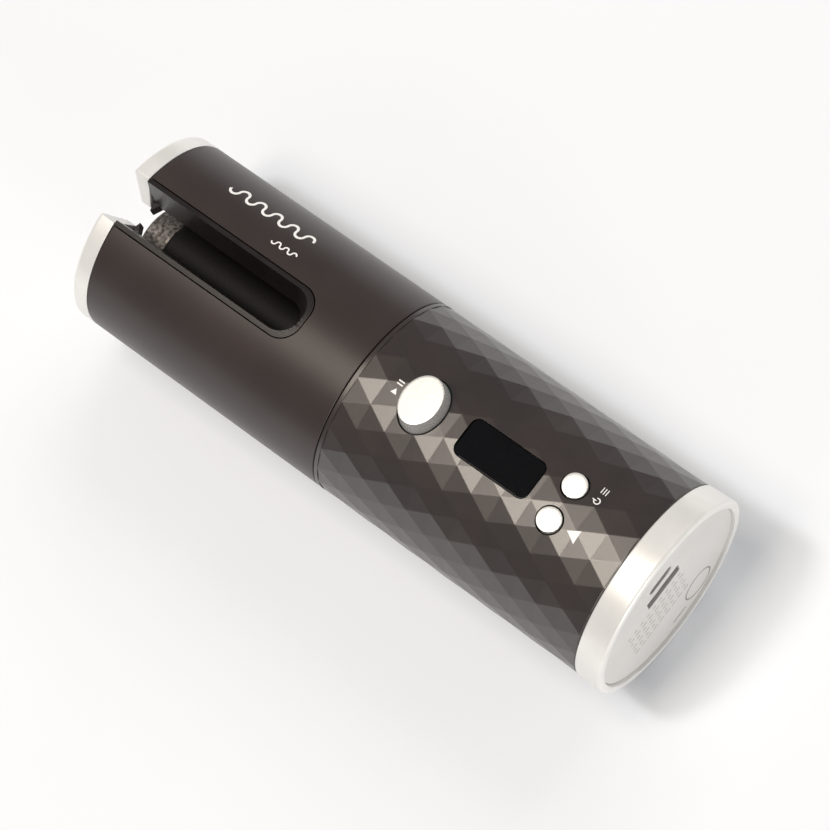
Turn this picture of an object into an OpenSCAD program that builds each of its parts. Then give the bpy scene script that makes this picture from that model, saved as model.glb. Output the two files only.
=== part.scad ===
// Cordless automatic hair curler, lying on its side with its slot and buttons upwards.
// X runs along the body from the tip to the base, +Z is the button side.
// The origin is under the middle of the body, on the surface that it lies on.

/* [Body] */
// Overall length, tip to base
total_len = 199; // [198:1:240]
// Radius of the body at the base seam
body_r = 32.5; // [32:0.1:40]
// How much slimmer the body is at the tip, on the radius
body_taper = 0.4; // [0:0.1:1]
// How far the base rim stands proud of the body
rim_proud = 0.6; // [0.3:0.1:1.5]
// Wall of the two long shells
shell_wall = 2.3; // [2:0.1:2.6]
// Length of the silver cap at the tip
cap_len = 5.8; // [5:0.1:8]
// Length of the smooth shell
shell_len = 88; // [85:1:110]
// Length of the silver cap at the base
base_len = 9.2; // [8:0.1:12]
// Gap that shows at each seam
seam = 0.15; // [0.1:0.05:0.3]

/* [Grip facets] */
// Facet columns round the grip
facets_round = 24; // [18:2:36]
// Rows of facets along the grip
facet_rows = 12; // [6:2:18]
// Smooth border at each end of the facets
facet_border = 1.4; // [0.8:0.1:3]
// How far the smooth borders stand above the facets' points
border_lift = 0.06; // [0.03:0.01:0.2]

/* [Hair slot] */
// Half the width of the slot in the shell
slot_half = 8.8; // [8:0.1:12]
// Where the slot ends, from the tip
slot_end = 72.2; // [60:0.2:76]
// Radius of the slot's two inner corners
slot_corner = 6.8; // [4:0.1:7.9]
// Width of the bead that trims the slot
bead_w = 1.2; // [0.8:0.1:2]
// Half the width of the slot where it leaves the tip cap
cap_slot_half = 8.2; // [7:0.1:9]
// Half the width of the slot where it opens into the chamber
throat_half = 4.2; // [3:0.1:6]
// Radius of the winding chamber
chamber_r = 18.6; // [16:0.1:21]
// Wall of the chamber liner
liner_wall = 1.6; // [1.2:0.1:2.4]
// Radius of the round mouth in the tip cap
mouth_r = 17.4; // [15:0.1:18.5]
// How far the tip face dishes inwards
mouth_dish = 2; // [1:0.1:3]
// Half the gap between the two combing teeth at the tip
tooth_gap_half = 2.3; // [1.5:0.1:3]

/* [Heated barrel] */
// Outer radius of the heated barrel
barrel_r = 9.75; // [8.5:0.05:12]
// Wall of the heated barrel's tube
barrel_wall = 1.5; // [1:0.1:2]
// Where the barrel starts, from the tip
barrel_start = 5.3; // [4.5:0.1:10]
// Length of the bare ring at the barrel's tip
tip_ring_len = 8.3; // [5:0.1:10]
// Outer radius of the fixed spindle
spindle_r = 3; // [2.5:0.1:3.5]
// Bore radius of the fixed spindle
spindle_bore_r = 1.8; // [1.5:0.1:2]
// Radius of the spindle's front journal
journal_r = 2; // [1.6:0.1:2.2]
// Running clearance of each shaft in its bush
run = 0.05; // [0.02:0.01:0.1]

/* [Drive] */
// Thickness of the wall behind the chamber
bulkhead = 2.5; // [2:0.1:4]
// Module of the barrel's gear pair
barrel_mod = 0.7; // [0.6:0.1:0.8]
// Teeth of the barrel gear
barrel_teeth = 42; // [36:1:44]
// Teeth of the compound gear's small wheel
small_teeth = 12; // [12:1:14]
// Module of the motor's gear pair
motor_mod = 0.5; // [0.4:0.1:0.5]
// Teeth of the compound gear's large wheel
large_teeth = 34; // [28:1:36]
// Teeth of the motor pinion
pinion_teeth = 12; // [12:1:14]
// Radius of the motor can
motor_r = 12; // [10:0.1:12.5]
// Length of the motor can
motor_len = 25; // [20:0.5:27]
// Radius of the motor shaft and of the compound gear's axle
shaft_r = 1; // [0.8:0.1:1.2]

/* [Controls] */
// Start button centre, from the grip's seam
start_x = 22.5; // [18:0.1:26]
// Start button length along the body, at its base
start_len = 13.6; // [10:0.1:16.4]
// Start button width across the body, at its base
start_w = 17.2; // [12:0.1:20.7]
// How far the start button stands above the grip
start_proud = 5; // [3:0.1:7]
// How much narrower the start button's top is, on each side
start_draft = 0.8; // [0.2:0.1:1.5]
// Display window centre, from the grip's seam
window_x = 49.7; // [45:0.1:54]
// Display window length along the body
window_len = 25.8; // [18:0.1:28]
// Display window width across the body
window_w = 12.6; // [9:0.1:15.2]
// Centre of the two round buttons, from the grip's seam
keys_x = 71.9; // [69:0.1:74]
// Half the distance between the two round buttons
keys_half = 5.95; // [5.6:0.05:8]
// Radius of the two round buttons
key_r = 3.75; // [3:0.05:4.2]
// How far the round buttons stand above the grip
key_proud = 1; // [0.5:0.1:2]
// Gap round each button
button_gap = 0.5; // [0.4:0.05:0.6]
// Travel of the start button
start_travel = 1; // [0.5:0.1:1.2]
// Travel of the round buttons
key_travel = 0.6; // [0.3:0.1:1]

/* [Power] */
// Radius of each battery cell
cell_r = 9.2; // [7:0.1:9.3]
// Length of each battery cell
cell_len = 65; // [40:1:65.5]
// Width of the square-ended port in the base
port_a_w = 14.4; // [12:0.1:15]
// Height of the square-ended port in the base
port_a_h = 4.8; // [4:0.1:5.5]
// Width of the round-ended port in the base
port_c_w = 9.9; // [9:0.1:11]
// Height of the round-ended port in the base
port_c_h = 3.3; // [3:0.1:3.6]

/* [Hidden] */
$fn = 72;
// Clearance between two parts that don't move on each other
fit = 0.1;
// Clearance between parts that pass each other
gap = 0.4;
// Overshoot of a cutting tool past the face that it cuts
over = 0.5;

tip_r = body_r - body_taper;
rim_r = body_r + rim_proud;
bore_r = body_r - shell_wall;
core_r = bore_r - fit;
x_grip = cap_len + shell_len;
x_base = total_len - base_len;

// How far each border laps over the first row of facets
border_lap = 0.15;

// Drive layout along X, counted from the grip's seam
x_bulkhead = x_grip - 13.8;
x_gear = x_bulkhead + bulkhead + 2.5;
gear_w = 4;
x_large = x_gear + gear_w + 1.4;
large_w = 3;
x_plate = x_bulkhead + bulkhead + 13.5;
plate_t = 2.5;
flange_t = 2;
x_flange = x_plate + plate_t;
x_motor = x_plate + plate_t;
x_motor_end = x_motor + motor_len;
housing_wall = 1.6;

// Gear positions across the body
mesh_1 = barrel_mod * (barrel_teeth + small_teeth) / 2;
mesh_2 = motor_mod * (large_teeth + pinion_teeth) / 2;
angle_1 = 210;
angle_2 = -26.5;
compound_at = [mesh_1 * cos(angle_1), mesh_1 * sin(angle_1)];
motor_at = compound_at + mesh_2 * [cos(angle_2), sin(angle_2)];
boss_angles = [30, 150, 300];
boss_at = bore_r - 5.6;
boss_r = 3;
screw_r = 1.2;
head_r = 2.2;
head_t = 1.6;
motor_screw_at = 8;
motor_screw_r = 1;

// Barrel fits
barrel_bore = barrel_r - barrel_wall;
x_tube = barrel_start + tip_ring_len;
bush_wall = 2;
front_bush_r = journal_r + bush_wall;
rear_bush_r = spindle_r + bush_wall;
cone_half = slot_half - fit - bead_w;

// Board and its supports
board_t = 1.6;
board_z = bore_r - 13.2;
board_top = board_z + board_t;
board_half = 20;
x_board = x_flange + 7;
x_board_end = x_grip + 82;
post_r = 2.6;
post_x = [x_board + 4, x_board_end - 4];
post_y = 16.5;
floor_top = -0.8;
floor_t = 1.5;
x_floor = x_flange + 5;
x_floor_end = x_base - 3;
rail_y = 23.8;
rail_t = 1.6;

// Batteries
x_cells = x_motor_end + 5;
cell_z = -cell_r - 4.3;
cell_y = cell_r + 0.4;
cradle_t = 1.2;

// Controls
start_at = x_grip + start_x;
keys_at = x_grip + keys_x;
window_at = x_grip + window_x;
window_r = 2.5;
window_gap = 0.25;
window_top = body_r - 0.5;
flange_h = 1.3;
switch_w = 6;
switch_h = 3.5;
plunger_r = 1.7;

// Ports
port_board_z = 14.2;
port_a_z = port_board_z - 3.6;
port_c_z = port_board_z + board_t + 2.2;
recess = 1;
spigot_wall = 2;
end_plate_t = 1.6;
end_plate_r = rim_r - 2.9;
x_end_plate = total_len - recess - end_plate_t;

// ---- helpers ----

// Moves the body from its own axis to the surface that it lies on
module place() translate([-total_len / 2, 0, rim_r]) children();

// Draws a shape given in Y and Z, extruded towards the base
module axial(x0, x1) translate([x0, 0, 0]) rotate([90, 0, 90]) linear_extrude(x1 - x0) children();

module bar(x0, x1, r, at = [0, 0]) axial(x0, x1) translate(at) circle(r);

module pipe(x0, x1, outer, inner, at = [0, 0]) difference() {
    bar(x0, x1, outer, at);
    bar(x0 - over, x1 + over, inner, at);
}

// Turns an outline of [radius, x] points about the body's axis
module turned(outline) rotate([90, 0, 90]) rotate_extrude() polygon(outline);

module post(at, z0, z1, r) translate([at[0], at[1], z0]) cylinder(h = z1 - z0, r = r);

module block(x0, x1, half, z0, z1) translate([x0, -half, z0]) cube([x1 - x0, 2 * half, z1 - z0]);

function body_at(x) = tip_r + body_taper * (x - cap_len) / (x_base - cap_len);
function polar(r, a) = [r * cos(a), r * sin(a)];
function ellipse(len_x, len_y) = [for (a = [0:5:355]) [len_x / 2 * cos(a), len_y / 2 * sin(a)]];

module rounded_box(len_x, len_y, r) hull() for (sx = [-1, 1], sy = [-1, 1])
    translate([sx * (len_x / 2 - r), sy * (len_y / 2 - r)]) circle(r);

// A slot seen from above, open at the tip and rounded at its inner end
module slot_outline(half, x_end, x_start = -1) {
    corner = min(slot_corner, half);
    straight = x_end - corner;
    translate([x_start, -half]) square([straight - x_start, 2 * half]);
    translate([straight, corner - half]) square([corner, 2 * (half - corner) + 0.001]);
    for (side = [-1, 1]) translate([straight, side * (half - corner)]) circle(corner);
}

// A thin slice of the slot at one height, for a sloping wall
module slot_slice(half, x_end, z, x_start) translate([0, 0, z]) linear_extrude(0.01)
    slot_outline(half, x_end, x_start);

module gear_outline(teeth, size) {
    pitch_r = size * teeth / 2;
    tip_half = 70 / teeth - size * 0.9 * tan(20) / pitch_r * 180 / PI;
    root_half = 70 / teeth + size * 1.2 * tan(20) / pitch_r * 180 / PI;
    polygon([for (t = [0:teeth - 1]) let (a = t * 360 / teeth) each [
        polar(pitch_r - 1.2 * size, a - root_half), polar(pitch_r + 0.9 * size, a - tip_half),
        polar(pitch_r + 0.9 * size, a + tip_half), polar(pitch_r - 1.2 * size, a + root_half)]]);
}

// ---- outer casings ----

module top_cap() color("silver") place() difference() {
    edge = 1.2;
    back = cap_len - seam;
    rim = [for (a = [90:-15:0]) [tip_r - edge + edge * cos(a), edge - edge * sin(a)]];
    turned(concat([[mouth_r, back], [mouth_r, mouth_dish]], rim, [[tip_r, back]]));
    axial(-over, cap_len + over) polygon([[-throat_half + 1, 0], [throat_half - 1, 0],
        [throat_half - 1, mouth_r - 1], [cap_slot_half, tip_r - 1], [cap_slot_half, tip_r + 2],
        [-cap_slot_half, tip_r + 2], [-cap_slot_half, tip_r - 1], [-throat_half + 1, mouth_r - 1]]);
    // Hollow back, closed beside the slot
    difference() {
        pipe(mouth_dish + 1.6, cap_len + over, bore_r, mouth_r + 1.5);
        block(0, cap_len + 2 * over, cap_slot_half + 2, 0, tip_r);
    }
}

module barrel_shell() color("#4a4342") place() difference() {
    x0 = cap_len + seam;
    x1 = x_grip - seam;
    axis_cone(x0, x1);
    bar(x0 - over, x1 + over, bore_r);
    linear_extrude(2 * body_r) slot_outline(slot_half, slot_end);
}

module axis_cone(x0, x1, lift = 0) translate([x0, 0, 0]) rotate([0, 90, 0])
    cylinder(h = x1 - x0, r1 = body_at(x0) + lift, r2 = body_at(x1) + lift);

module slot_liner() color("#2b2827") place() {
    x0 = cap_len;
    outer_half = slot_half - fit;
    knee = bore_r - 1.2;
    difference() {
        union() {
            pipe(x0, x_bulkhead, chamber_r + liner_wall, chamber_r);
            difference() {
                intersection() {
                    union() {
                        translate([0, 0, knee]) linear_extrude(body_r)
                            slot_outline(outer_half, slot_end - fit, x0);
                        hull() {
                            slot_slice(outer_half, slot_end - fit, knee, x0);
                            slot_slice(throat_half + 2 * liner_wall, slot_end - 6, chamber_r - 3, x0);
                        }
                    }
                    bar(x0, slot_end, tip_r - 0.05);
                }
                bar(x0 - over, x_bulkhead, chamber_r);
            }
        }
        hull() {
            slot_slice(cone_half, slot_end - fit - bead_w, body_r, x0 - over);
            slot_slice(throat_half, slot_end - 9, chamber_r - 5, x0 - over);
        }
    }
    // Combing teeth on both sides of the slot
    for (side = [-1, 1]) mirror([0, side < 0 ? 1 : 0, 0]) comb_tooth(x0);
}

// One tooth points across the slot where it meets the chamber
module comb_tooth(x0) intersection() {
    tooth_len = 3.2;
    root = throat_half + 2;
    translate([0, 0, chamber_r - 3]) linear_extrude(4) polygon([[x0, root],
        [x0 + 1.2, tooth_gap_half], [x0 + tooth_len, root]]);
    bar(x0, x0 + tooth_len, chamber_r + liner_wall);
}

function lattice(row, col) = let (
    x = x_grip + facet_border + row * (x_base - x_grip - 2 * facet_border) / facet_rows,
    a = (col + (1 - row % 2) / 2) * 360 / facets_round)
    [x, body_at(x) * sin(a), body_at(x) * cos(a)];

function lattice_id(row, col) = row * facets_round + (col + facets_round) % facets_round;

// Two triangles for each lattice point, leaning one way in even rows and the other in odd rows
function facet_pair(row, col) = row % 2 == 0
    ? [[lattice_id(row, col), lattice_id(row + 1, col + 1), lattice_id(row + 1, col)],
       [lattice_id(row, col), lattice_id(row, col + 1), lattice_id(row + 1, col + 1)]]
    : [[lattice_id(row, col), lattice_id(row + 1, col), lattice_id(row + 1, col - 1)],
       [lattice_id(row, col), lattice_id(row, col + 1), lattice_id(row + 1, col)]];

module faceted_sleeve() {
    last = facets_round - 1;
    polyhedron(
        points = [for (row = [0:facet_rows], col = [0:last]) lattice(row, col)],
        faces = concat(
            [for (row = [0:facet_rows - 1], col = [0:last]) each facet_pair(row, col)],
            [[for (col = [last:-1:0]) lattice_id(0, col)]],
            [[for (col = [0:last]) lattice_id(facet_rows, col)]]));
}

module grip_shell() color("#4a4342") place() difference() {
    x0 = x_grip + seam;
    x1 = x_base - seam;
    union() {
        faceted_sleeve();
        axis_cone(x0, x_grip + facet_border + border_lap, border_lift);
        axis_cone(x_base - facet_border - border_lap, x1, border_lift);
    }
    bar(x0 - over, x1 + over, bore_r);
    translate([start_at, 0, 0]) linear_extrude(2 * body_r)
        polygon(ellipse(start_len + 2 * button_gap, start_w + 2 * button_gap));
    translate([window_at, 0, 0]) linear_extrude(2 * body_r)
        rounded_box(window_len + 2 * window_gap, window_w + 2 * window_gap, window_r + window_gap);
    for (side = [-1, 1]) post([keys_at, side * keys_half], 0, 2 * body_r, key_r + button_gap);
}

module base_cap() color("silver") place() {
    edge = 1.1;
    x0 = x_base + seam;
    lip_r = end_plate_r + fit;
    spigot = 6;
    turned(concat(
        [[core_r - spigot_wall, x0 - spigot], [core_r, x0 - spigot], [core_r, x0], [body_r + 0.15, x0]],
        [for (a = [0:15:90]) [rim_r - edge + edge * cos(a), total_len - edge + edge * sin(a)]],
        [[lip_r + 0.5, total_len], [lip_r, total_len - 0.5], [lip_r, x_end_plate],
         [core_r - spigot_wall, x_end_plate]]));
}

module end_plate() color("#d8d8d8") place() difference() {
    bar(x_end_plate + fit, x_end_plate + end_plate_t, end_plate_r);
    axial(x_end_plate - over, total_len) {
        translate([-port_a_w / 2, port_a_z - port_a_h / 2]) square([port_a_w, port_a_h]);
        for (side = [-1, 1]) translate([side * (port_c_w - port_c_h) / 2, port_c_z]) circle(port_c_h / 2);
        translate([-(port_c_w - port_c_h) / 2, port_c_z - port_c_h / 2])
            square([port_c_w - port_c_h, port_c_h]);
    }
}

// ---- controls ----

module display_window() color("#101012") place() translate([window_at, 0, 0]) {
    ledge = 0.8;
    seat = sqrt(pow(bore_r, 2) - pow(window_w / 2 + ledge, 2)) - fit;
    translate([0, 0, seat - flange_h]) linear_extrude(flange_h)
        rounded_box(window_len + 2 * ledge, window_w + 2 * ledge, window_r + ledge);
    translate([0, 0, seat - flange_h]) linear_extrude(window_top - seat + flange_h)
        rounded_box(window_len, window_w, window_r);
}

module display_module() color("#20303a") place() {
    half = window_w / 2 + 1;
    top = sqrt(pow(bore_r, 2) - pow(window_w / 2 + 0.8, 2)) - flange_h - gap - fit;
    block(window_at - window_len / 2, window_at + window_len / 2, half, board_top, top);
}

// Height of a button's lower end, above its switch
function stem_foot(travel) = board_top + switch_h + travel + 0.3;
function flange_top(reach) = sqrt(pow(bore_r, 2) - pow(reach, 2)) - gap;

module start_button() color("silver") place() translate([start_at, 0, 0]) {
    ledge = button_gap + 0.9;
    neck = 0.2;
    top = body_r + start_proud;
    shelf = flange_top(start_w / 2 + ledge);
    translate([0, 0, shelf - flange_h]) linear_extrude(flange_h)
        polygon(ellipse(start_len + 2 * ledge, start_w + 2 * ledge));
    translate([0, 0, shelf - over]) linear_extrude(body_r - shelf + over)
        polygon(ellipse(start_len - neck, start_w - neck));
    hull() {
        translate([0, 0, body_r - 1]) linear_extrude(0.01) polygon(ellipse(start_len, start_w));
        translate([0, 0, top - 0.5]) linear_extrude(0.01)
            polygon(ellipse(start_len - 2 * start_draft, start_w - 2 * start_draft));
        translate([0, 0, top - 0.01]) linear_extrude(0.01)
            polygon(ellipse(start_len - 2 * start_draft - 0.8, start_w - 2 * start_draft - 0.8));
    }
    post([0, 0], stem_foot(start_travel), shelf, 3);
}

module key(side) {
    ledge = button_gap + 0.6;
    shelf = flange_top(keys_half + key_r + ledge);
    top = sqrt(pow(body_r, 2) - pow(keys_half, 2)) + key_proud;
    edge = 0.5;
    translate([keys_at, side * keys_half, 0]) {
        translate([0, 0, shelf - flange_h]) cylinder(h = flange_h, r = key_r + ledge);
        rotate_extrude() polygon([[0, shelf - over], [key_r, shelf - over], [key_r, top - edge],
            [key_r - 0.15, top - 0.15], [key_r - edge, top], [0, top]]);
        post([0, 0], stem_foot(key_travel), shelf, 2);
    }
}

module power_button() color("silver") place() key(1);
module settings_button() color("silver") place() key(-1);

function switch_spots() = [[start_at, 0], [keys_at, keys_half], [keys_at, -keys_half]];

module tact_switches() color("#303030") place() for (spot = switch_spots()) difference() {
    translate([spot[0] - switch_w / 2, spot[1] - switch_w / 2, board_top])
        cube([switch_w, switch_w, switch_h]);
    post(spot, board_top + 0.6, board_top + switch_h + over, plunger_r + fit);
}

module plunger(spot, travel) post(spot, board_top + 0.6 + travel + 0.3, stem_foot(travel), plunger_r);

module start_plunger() color("#8a2c22") place() plunger([start_at, 0], start_travel);
module power_plunger() color("#8a2c22") place() plunger([keys_at, keys_half], key_travel);
module settings_plunger() color("#8a2c22") place() plunger([keys_at, -keys_half], key_travel);

// ---- board and chassis ----

function post_spots() = [for (x = post_x, side = [-1, 1]) [x, side * post_y]];

module main_board() color("#1d5a3a") place() difference() {
    block(x_board, x_board_end, board_half, board_z, board_top);
    for (spot = post_spots()) post(spot, board_z - over, board_top + over, screw_r + fit);
}

module board_screws() color("#b8b8b8") place() for (spot = post_spots()) {
    post(spot, board_z - 7, board_top + 0.01, screw_r - 0.2);
    post(spot, board_top, board_top + 1.2, 2);
}

module inner_chassis() color("#5a5a5a") place() difference() {
    union() {
        bar(x_flange, x_flange + flange_t, core_r);
        block(x_floor, x_floor_end, rail_y + rail_t, floor_top - floor_t, floor_top);
        // Side rails, which stay clear of the base cap's spigot
        intersection() {
            for (side = [-1, 1])
                translate([x_flange, side * (rail_y + rail_t / 2) - rail_t / 2, floor_top - floor_t])
                    cube([x_floor_end - x_flange, rail_t, board_z - floor_top - 2]);
            bar(x_flange, x_floor_end, core_r - spigot_wall - gap);
        }
        for (spot = post_spots()) post(spot, floor_top - over, board_z, post_r);
    }
    bar(x_flange - over, x_floor, motor_r + gap, motor_at);
    bar(x_flange - over, x_floor, spindle_r + gap);
    for (a = boss_angles) {
        bar(x_flange - over, x_floor, screw_r + fit, polar(boss_at, a));
        bar(x_flange + flange_t, x_floor, head_r + gap, polar(boss_at, a));
    }
    // Window for the wires above the spindle
    translate([x_flange - over, -9, 5]) cube([flange_t + 2 * over, 18, 8]);
    for (spot = post_spots()) post(spot, board_z - 9, board_z + over, screw_r - 0.18);
    for (spot = battery_lead_spots()) post(spot, floor_top - 2 * floor_t, floor_top + floor_t, 1.2);
    for (spot = motor_lead_spots()) post(spot, floor_top - 2 * floor_t, floor_top + floor_t, 1.2);
}

// ---- drive ----

module gear_housing() color("#d9d6cc") place() difference() {
    union() {
        bar(x_bulkhead, x_bulkhead + bulkhead, core_r);
        pipe(x_bulkhead, x_plate, core_r, core_r - housing_wall);
        for (a = boss_angles) bar(x_bulkhead, x_plate, boss_r, polar(boss_at, a));
        bar(x_bulkhead, x_gear - 0.6, shaft_r + 1.2, compound_at);
    }
    bar(x_bulkhead - over, x_bulkhead + bulkhead + over, barrel_r + gap);
    bar(x_bulkhead + 1, x_plate, shaft_r + 0.02, compound_at);
    for (a = boss_angles) bar(x_bulkhead + bulkhead + 2, x_plate + over, screw_r + 0.02, polar(boss_at, a));
}

module drive_plate() color("#b9bcc0") place() difference() {
    bar(x_plate, x_plate + plate_t, core_r);
    bar(x_plate - over, x_flange + over, spindle_r + 0.02);
    bar(x_plate - over, x_flange + over, motor_boss_r() + fit, motor_at);
    bar(x_plate - over, x_plate + plate_t + over, shaft_r + 0.02, compound_at);
    for (a = boss_angles) bar(x_plate - over, x_flange + over, screw_r + fit, polar(boss_at, a));
    for (spot = motor_screw_spots()) bar(x_plate - over, x_flange + over, motor_screw_r + fit, spot);
}

function motor_boss_r() = 3.4;
function motor_screw_spots() = [for (side = [-1, 1]) motor_at + side * polar(motor_screw_at, 60)];

module gearbox_screws() color("#b8b8b8") place() for (a = boss_angles) {
    bar(x_plate - 8, x_flange + flange_t + 0.01, screw_r, polar(boss_at, a));
    bar(x_flange + flange_t, x_flange + flange_t + head_t, head_r, polar(boss_at, a));
}

module motor() color("#c4c6c8") place() difference() {
    union() {
        bar(x_motor, x_motor_end, motor_r, motor_at);
        bar(x_plate, x_motor, motor_boss_r(), motor_at);
        bar(x_motor_end, x_motor_end + 1.5, 3, motor_at);
        for (spot = motor_lead_spots()) translate([x_motor_end, spot[1] - 0.8, motor_at[1] + 6])
            cube([2.4, 1.6, 1]);
    }
    bar(x_plate - over, x_motor_end - 1, shaft_r + 0.08, motor_at);
    for (spot = motor_screw_spots()) bar(x_motor - over, x_motor + 3, motor_screw_r + 0.02, spot);
}

module motor_screws() color("#b8b8b8") place() for (spot = motor_screw_spots()) {
    bar(x_plate - 1.2, x_plate, 1.9, spot);
    bar(x_plate - 0.01, x_motor + 2.8, motor_screw_r, spot);
}

module motor_shaft() color("#c8c8c8") place() bar(x_large - 1, x_motor_end - 2, shaft_r, motor_at);

module motor_pinion() color("#c9a24a") place() difference() {
    axial(x_large - 0.5, x_large + large_w + 0.8) translate(motor_at)
        rotate(angle_2 + 180 + 180 / pinion_teeth) gear_outline(pinion_teeth, motor_mod);
    bar(x_large - 1, x_plate, shaft_r + 0.01, motor_at);
}

module compound_gear() color("#e8e2d0") place() difference() {
    union() {
        axial(x_gear - 0.2, x_large) translate(compound_at)
            rotate(angle_1 + 180 + 180 / small_teeth) gear_outline(small_teeth, barrel_mod);
        axial(x_large, x_large + large_w) translate(compound_at)
            rotate(angle_2) gear_outline(large_teeth, motor_mod);
        bar(x_large, x_plate - 0.4, shaft_r + 1.2, compound_at);
    }
    bar(x_gear - 1, x_plate, shaft_r + run, compound_at);
}

module compound_axle() color("#c8c8c8") place() bar(x_bulkhead + 1.1, x_flange - 0.1, shaft_r, compound_at);

module barrel_gear() color("#e8e2d0") place() difference() {
    union() {
        axial(x_gear, x_gear + gear_w) rotate(angle_1) gear_outline(barrel_teeth, barrel_mod);
        bar(x_gear - 7, x_gear, barrel_bore - 0.02);
        bar(x_gear, x_gear + gear_w + 0.6, rear_bush_r + 2);
    }
    bar(x_gear - 8, x_plate, rear_bush_r + 0.01);
}

module rear_bush() color("#b08d4f") place()
    pipe(x_gear - 6, x_gear + gear_w, rear_bush_r, spindle_r + run);

module front_bush() color("#b08d4f") place()
    pipe(barrel_start + 2.5, x_tube, front_bush_r, journal_r + run);

module barrel_tube() color("#141414") place() pipe(x_tube + 0.05, x_gear, barrel_r, barrel_bore);

module barrel_tip() color("#7d7a78") place() difference() {
    union() {
        edge = 0.6;
        turned([[0, barrel_start], [barrel_r - edge, barrel_start], [barrel_r, barrel_start + edge],
            [barrel_r, x_tube], [0, x_tube]]);
        bar(x_tube - over, x_tube + 3, barrel_bore - 0.02);
    }
    bar(barrel_start + 2, x_tube + 4, front_bush_r + 0.01);
}

module chamber_seal() color("#8a3a2a") place()
    pipe(x_bulkhead - 1.6, x_bulkhead, chamber_r - fit, barrel_r + gap);

module spindle() color("#b0b2b4") place() difference() {
    union() {
        bar(barrel_start + 3, x_tube + 0.5, journal_r);
        bar(x_tube + 0.5, x_flange + flange_t + 0.5, spindle_r);
    }
    bar(x_tube + 4, x_flange + flange_t + 1, spindle_bore_r);
}

// ---- heater ----

x_heater = x_tube + 6.4;
heater_len = 46;
heater_r = barrel_bore - 1;
sensor_at = (heater_r + spindle_r) / 2;

module heater_core() color("#c9c5bd") place()
    pipe(x_heater, x_heater + heater_len, heater_r, spindle_r + 0.02);

module thermistor() color("#c7772e") place()
    bar(x_heater + heater_len, x_heater + heater_len + 5, 1, [0, sensor_at]);

module thermal_fuse() color("#d8d8d8") place()
    bar(x_heater + heater_len, x_heater + heater_len + 8, 1.2, [0, -sensor_at]);

module heater_leads() color("#e8e8e8") place() for (side = [-1, 1]) {
    wire = 0.55;
    bend = 4;
    x_bend = x_flange + 8;
    bar(x_heater + 2, x_bend, wire, [side * 0.8, 0]);
    translate([x_bend, side * 0.8, bend]) rotate([90, 0, 0]) rotate([0, 0, -90])
        rotate_extrude(angle = 90) translate([bend, 0]) circle(wire);
    post([x_bend + bend, side * 0.8], bend, board_z, wire);
}

function motor_lead_spots() = [for (side = [-1, 1]) [x_motor_end + 1.6, motor_at[0] + side * 4]];
function battery_lead_spots() = [for (side = [-1, 1]) [x_cells - cradle_t - 1.2, side * 13]];

module motor_leads() color("#3a5a9a") place() for (spot = motor_lead_spots())
    post(spot, motor_at[1] + 7, board_z, 0.7);

// ---- power ----

module battery_cells() color("#3b6ea5") place() for (side = [-1, 1])
    bar(x_cells, x_cells + cell_len, cell_r, [side * cell_y, cell_z]);

module cradle_section() intersection() {
    circle(core_r - spigot_wall - gap);
    translate([-2 * cell_r - 1.6, cell_z - 12]) square([4 * cell_r + 3.2, 11 + cell_r]);
}

module battery_cradle() color("#303030") place() difference() {
    union() {
        axial(x_cells - cradle_t - 0.3, x_cells + 10) cradle_section();
        axial(x_cells + cell_len - 10, x_cells + cell_len + cradle_t + 0.3) cradle_section();
        axial(x_cells, x_cells + cell_len) intersection() {
            cradle_section();
            translate([-3, cell_z - 12]) square([6, 11]);
        }
    }
    for (side = [-1, 1]) bar(x_cells - 0.3, x_cells + cell_len + 0.3, cell_r + 0.15, [side * cell_y, cell_z]);
    for (spot = battery_lead_spots()) bar(x_cells - 2 * cradle_t - over, x_cells, 0.8, [spot[1], -6]);
}

module battery_tabs() color("#c0c0c0") place() for (x = [x_cells - 0.25, x_cells + cell_len + 0.05])
    axial(x, x + 0.2) for (side = [-1, 1]) translate([side * cell_y, cell_z]) circle(cell_r - 3);

module battery_leads() color("#b02020") place() for (spot = battery_lead_spots()) {
    post(spot, -6, board_z, 0.7);
    bar(spot[0], x_cells - 0.6, 0.7, [spot[1], -6]);
}

module port_board() color("#1d5a3a") place()
    block(x_board_end + 2, x_end_plate - 1, 8.5, port_board_z, port_board_z + board_t);

module usb_c_socket() color("#c8c8c8") place() difference() {
    axial(x_end_plate - 7.4, x_end_plate - 0.2) square_tube(port_c_w - 0.8, 3.2, port_c_z);
    axial(x_end_plate - 6.4, x_end_plate) square_tube(port_c_w - 1.6, 2.4, port_c_z);
    axial(x_end_plate - 8, x_end_plate) translate([-9, port_board_z]) square([18, board_t]);
}

module usb_a_socket() color("#c8c8c8") place() difference() {
    axial(x_end_plate - 14, x_end_plate - 0.2) square_tube(port_a_w, 7, port_a_z + 0.05);
    axial(x_end_plate - 13, x_end_plate) square_tube(port_a_w - 1.6, port_a_h, port_a_z);
}

module square_tube(w, h, z) translate([-w / 2, z - h / 2]) square([w, h]);

top_cap();
barrel_shell();
slot_liner();
grip_shell();
base_cap();
end_plate();
display_window();
display_module();
start_button();
power_button();
settings_button();
start_plunger();
power_plunger();
settings_plunger();
tact_switches();
main_board();
board_screws();
inner_chassis();
gear_housing();
drive_plate();
gearbox_screws();
motor();
motor_screws();
motor_shaft();
motor_pinion();
motor_leads();
compound_gear();
compound_axle();
barrel_gear();
rear_bush();
front_bush();
barrel_tube();
barrel_tip();
chamber_seal();
spindle();
heater_core();
thermistor();
thermal_fuse();
heater_leads();
battery_cells();
battery_cradle();
battery_tabs();
battery_leads();
port_board();
usb_c_socket();
usb_a_socket();
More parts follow.
